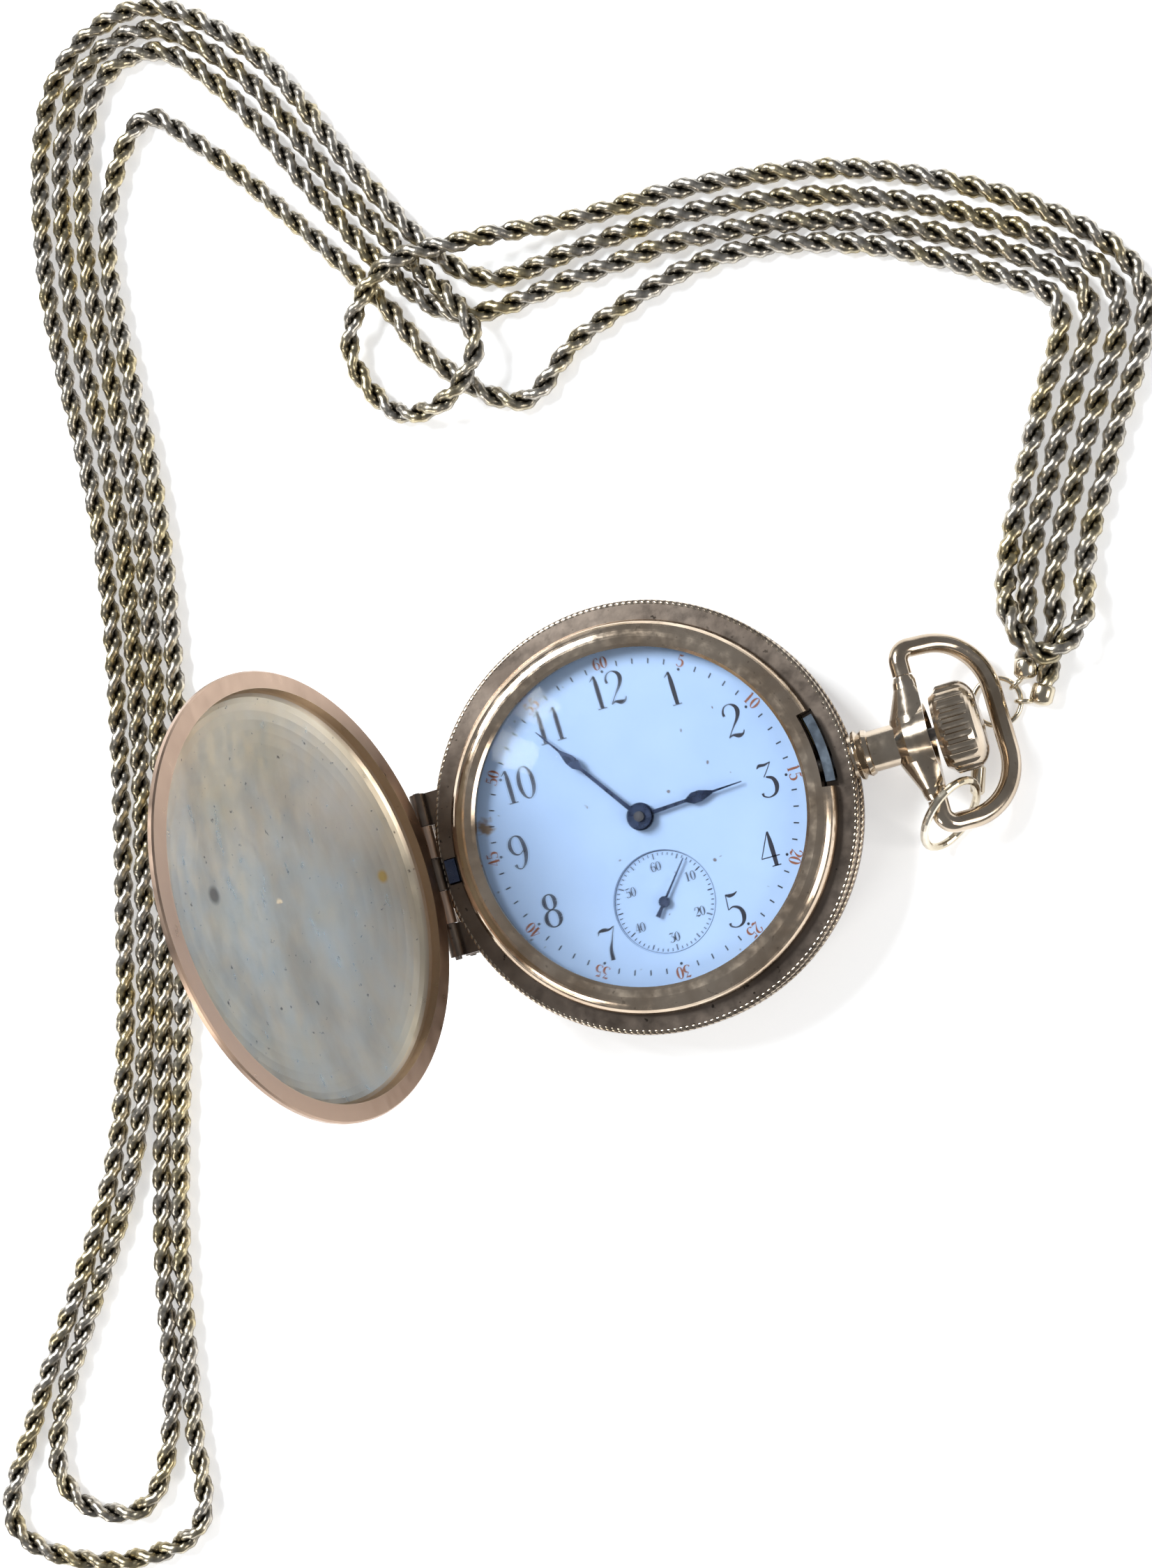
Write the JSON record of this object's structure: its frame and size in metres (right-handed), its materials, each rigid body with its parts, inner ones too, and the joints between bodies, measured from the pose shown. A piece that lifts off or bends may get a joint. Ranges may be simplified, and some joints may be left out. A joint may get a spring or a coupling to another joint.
{
  "type": "pocket watch",
  "caption": "Antique hunter-case pocket watch with hinged lids, keyless crown, bow, working movement and a long rope guard chain.",
  "frame": {"origin": "centre of the flat on the outside of the back cover, which the watch lies on", "axes": "+Z out of the dial, +X towards the crown at 3 o'clock, +Y towards 12 o'clock"},
  "size_m": [0.1478, 0.1591, 0.0492],
  "materials": {
    "case_gold": "worn polish",
    "bezel_gold": "polished",
    "lid_gold": "satin, fine scratches",
    "pendant_gold": "polished",
    "pin_steel": "bright",
    "dark_steel": "grey",
    "blued_steel": "blued",
    "crystal_glass": "clear",
    "enamel": "glossy",
    "plate_gilt": "fine gilt",
    "nickel": "damascened",
    "steel": "polished",
    "ruby": "jewel",
    "wheel_brass": "gilt",
    "rope_metal": "tarnished",
    "link_gold": "worn"
  },
  "bodies": {
    "case": {"case_center": "case_gold", "bezel": "bezel_gold", "crystal": "crystal_glass", "front_hinge_pin": "pin_steel", "back_hinge_pin": "pin_steel", "pendant": "pendant_gold", "pendant_sleeve": "pin_steel", "case_screws": "pin_steel", "dial": "enamel", "main_plate": "plate_gilt", "barrel_bridge": "nickel", "train_bridge": "nickel", "balance_cock": "nickel", "pallet_bridge": "nickel", "bridge_screws": "blued_steel", "plate_jewels": "ruby", "click_spring": "steel", "rope_chain": "rope_metal", "jump_ring": "link_gold", "swivel_barrel": "link_gold", "swivel_ring": "link_gold"},
    "front_lid": {"front_lid": "lid_gold"},
    "back_cover": {"back_cover": "case_gold"},
    "cuvette": {"cuvette": "lid_gold"},
    "lift_spring": {"lift_spring": "blued_steel"},
    "lock_spring": {"lock_spring": "blued_steel"},
    "bow": {"bow": "pendant_gold"},
    "stem": {"case_stem": "pin_steel", "winding_pinion": "steel"},
    "crown": {"crown": "pendant_gold"},
    "crown_wheel": {"crown_wheel": "steel"},
    "ratchet": {"ratchet_wheel": "steel", "barrel_arbor": "steel"},
    "minute_hand": {"minute_hand": "blued_steel", "cannon_pinion": "dark_steel"},
    "minute_wheel": {"minute_wheel": "wheel_brass"},
    "hour_hand": {"hour_hand": "blued_steel", "hour_wheel": "wheel_brass"},
    "second_hand": {"fourth_wheel": "wheel_brass", "second_hand": "blued_steel"},
    "third_wheel": {"third_wheel": "wheel_brass"},
    "center_wheel": {"center_wheel": "wheel_brass"},
    "barrel": {"mainspring_barrel": "wheel_brass", "mainspring": "steel"},
    "escape_wheel": {"escape_wheel": "steel"},
    "pallet_fork": {"pallet_fork": "steel"},
    "balance": {"balance_wheel": "wheel_brass", "hairspring": "blued_steel"},
    "click": {"click": "steel"},
    "regulator": {"regulator": "steel"}
  },
  "joints": [
    {"name": "front_lid_hinge", "type": "hinge", "parent": "case", "child": "front_lid", "pos_m": [-0.0213, 0, 0.00835], "axis": [0, 1, 0], "range_deg": [0, 105]},
    {"name": "lift_spring_press", "type": "slide", "parent": "case", "child": "lift_spring", "axis": [0, 0, -1], "range_m": [0, 0.0006]},
    {"name": "back_cover_hinge", "type": "hinge", "parent": "case", "child": "back_cover", "pos_m": [-0.0213, 0, 0.00345], "axis": [0, 1, 0], "range_deg": [0, 100]},
    {"name": "cuvette_hinge", "type": "hinge", "parent": "case", "child": "cuvette", "pos_m": [-0.0213, 0, 0.00345], "axis": [0, 1, 0], "range_deg": [0, 80]},
    {"name": "lock_spring_press", "type": "slide", "parent": "case", "child": "lock_spring", "axis": [-1, 0, 0], "range_m": [0, 0.00025], "stiffness_N_per_m": 2000},
    {"name": "bow_swing", "type": "hinge", "parent": "case", "child": "bow", "pos_m": [0.0275, 0, 0.0059], "axis": [0, -1, 0], "range_deg": [0, 110]},
    {"name": "winding_turn", "type": "hinge", "parent": "case", "child": "stem", "pos_m": [0, 0, 0.0059], "axis": [1, 0, 0], "continuous": true},
    {"name": "crown_press_and_pull", "type": "slide", "parent": "stem", "child": "crown", "axis": [1, 0, 0], "range_m": [-0.0004, 0.0006]},
    {"name": "crown_wheel_turn", "type": "hinge", "parent": "case", "child": "crown_wheel", "pos_m": [0.01291, 0.00103, 0.0022], "axis": [0, 0, 1], "continuous": true},
    {"name": "ratchet_turn", "type": "hinge", "parent": "case", "child": "ratchet", "pos_m": [0.00501, 0.00597, 0.0022], "axis": [0, 0, 1], "continuous": true},
    {"name": "minute_hand_turn", "type": "hinge", "parent": "case", "child": "minute_hand", "pos_m": [0, 0, 0.0089], "axis": [0, 0, -1], "continuous": true},
    {"name": "minute_wheel_turn", "type": "hinge", "parent": "case", "child": "minute_wheel", "pos_m": [0.0036, 0, 0.0064], "axis": [0, 0, -1], "continuous": true},
    {"name": "hour_hand_turn", "type": "hinge", "parent": "case", "child": "hour_hand", "pos_m": [0, 0, 0.0085], "axis": [0, 0, -1], "continuous": true},
    {"name": "second_hand_turn", "type": "hinge", "parent": "case", "child": "second_hand", "pos_m": [0, -0.0085, 0.0081], "axis": [0, 0, -1], "continuous": true},
    {"name": "third_wheel_turn", "type": "hinge", "parent": "case", "child": "third_wheel", "pos_m": [-0.00391, -0.00522, 0.00465], "axis": [0, 0, -1], "continuous": true},
    {"name": "center_wheel_turn", "type": "hinge", "parent": "case", "child": "center_wheel", "pos_m": [0, 0, 0.0052], "axis": [0, 0, -1], "continuous": true},
    {"name": "barrel_turn", "type": "hinge", "parent": "case", "child": "barrel", "pos_m": [0.00501, 0.00597, 0.00475], "axis": [0, 0, -1], "continuous": true},
    {"name": "escape_wheel_turn", "type": "hinge", "parent": "case", "child": "escape_wheel", "pos_m": [-0.00475, -0.01023, 0.0036], "axis": [0, 0, -1], "continuous": true},
    {"name": "pallet_fork_rock", "type": "hinge", "parent": "case", "child": "pallet_fork", "pos_m": [-0.00782, -0.00855, 0.0036], "axis": [0, 0, 1], "range_deg": [-5, 5]},
    {"name": "balance_swing", "type": "hinge", "parent": "case", "child": "balance", "pos_m": [-0.01045, -0.0034, 0.0031], "axis": [0, 0, 1], "range_deg": [-135, 135], "stiffness_Nm_per_rad": 0.0000002},
    {"name": "click_rock", "type": "hinge", "parent": "case", "child": "click", "pos_m": [0.0006, 0.013, 0.0022], "axis": [0, 0, 1], "range_deg": [-4, 12], "stiffness_Nm_per_rad": 0.0001},
    {"name": "regulator_turn", "type": "hinge", "parent": "case", "child": "regulator", "pos_m": [-0.01045, -0.0034, 0.0017], "axis": [0, 0, 1], "range_deg": [-20, 20]}
  ],
  "couplings": [
    {"joint": "lift_spring_press", "follows": "front_lid_hinge", "m_per_rad": 0.0003274},
    {"joint": "cuvette_hinge", "follows": "back_cover_hinge", "ratio": 0.8},
    {"joint": "crown_wheel_turn", "follows": "winding_turn", "ratio": 0.33333},
    {"joint": "ratchet_turn", "follows": "winding_turn", "ratio": -0.16667},
    {"joint": "minute_wheel_turn", "follows": "minute_hand_turn", "ratio": -0.33333},
    {"joint": "hour_hand_turn", "follows": "minute_hand_turn", "ratio": 0.083333},
    {"joint": "third_wheel_turn", "follows": "second_hand_turn", "ratio": -0.13333},
    {"joint": "center_wheel_turn", "follows": "second_hand_turn", "ratio": 0.016667},
    {"joint": "barrel_turn", "follows": "second_hand_turn", "ratio": -0.002315},
    {"joint": "escape_wheel_turn", "follows": "second_hand_turn", "ratio": -10}
  ]
}
